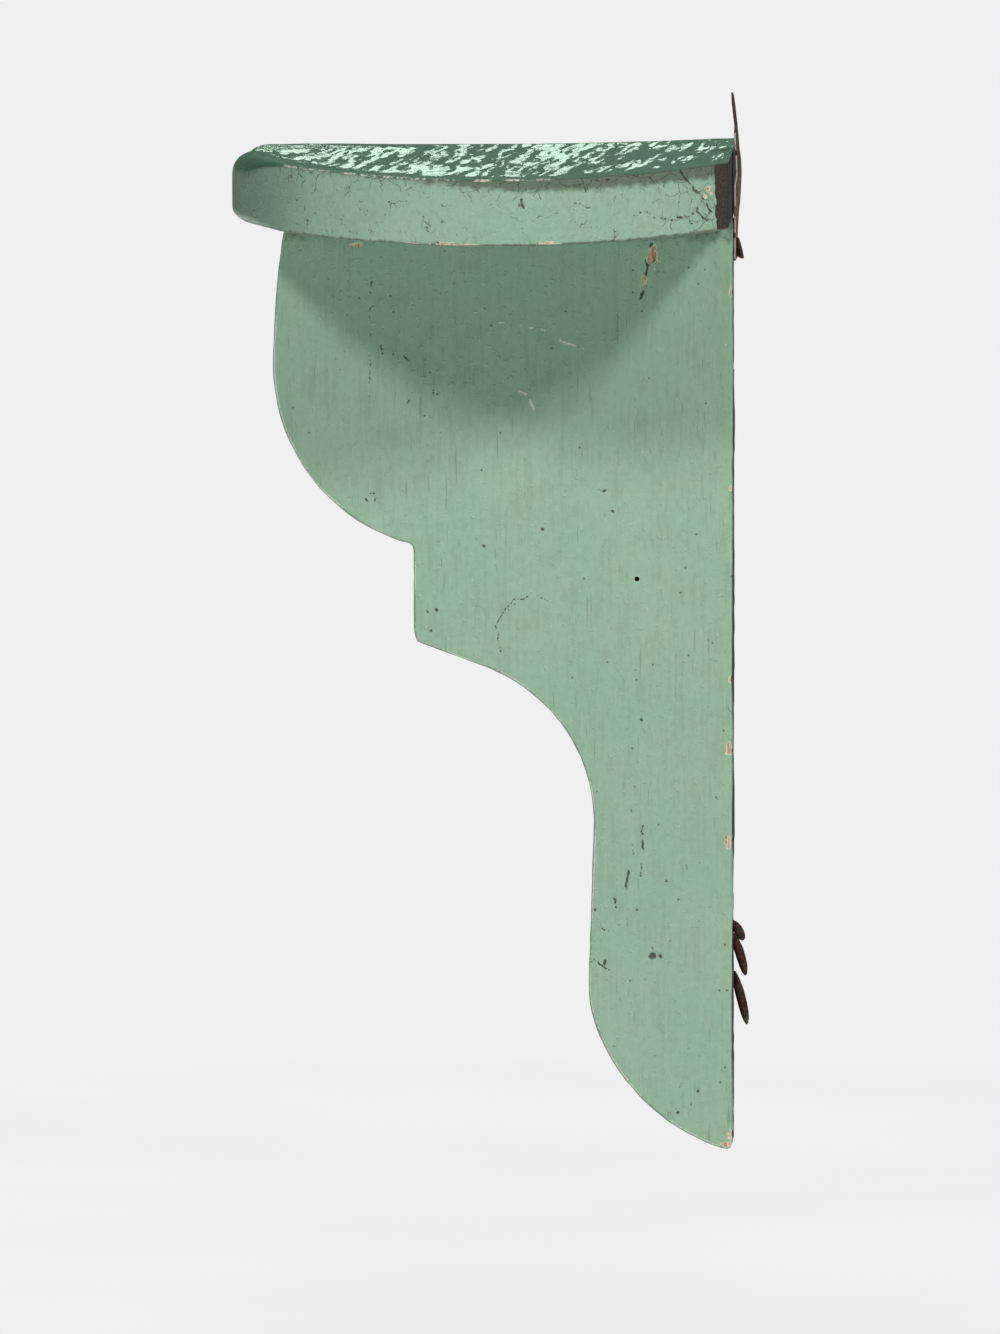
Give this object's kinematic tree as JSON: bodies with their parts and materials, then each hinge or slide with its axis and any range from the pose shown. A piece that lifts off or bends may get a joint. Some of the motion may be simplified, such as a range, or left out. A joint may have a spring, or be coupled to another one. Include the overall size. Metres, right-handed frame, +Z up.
{
  "type": "wall bracket shelf",
  "caption": "Painted wooden wall shelf: a round-fronted, cupped board nailed on one scroll-sawn bracket, hung by a holed sheet-iron strap.",
  "frame": {"origin": "centre of the strap's hanging hole, in the plane of the wood's back", "axes": "X along the wall, +Y into the wall (the shelf stands out towards -Y), +Z up"},
  "size_m": [0.1922, 0.1723, 0.3521],
  "materials": {
    "painted_wood": "old sage-green oil paint, brushed, worn and crackled",
    "sheet_iron": "rusted sheet iron",
    "iron_nail": "dark rusted nail iron"
  },
  "bodies": {
    "root": {"shelf_board": "painted_wood", "bracket_board": "painted_wood", "hanger_strap": "sheet_iron", "hanger_nail": "iron_nail", "shelf_nail_rear": "iron_nail", "shelf_nail_middle": "iron_nail", "shelf_nail_front": "iron_nail", "leg_nail_upper": "iron_nail", "leg_nail_middle": "iron_nail", "leg_nail_lower": "iron_nail"}
  },
  "joints": []
}
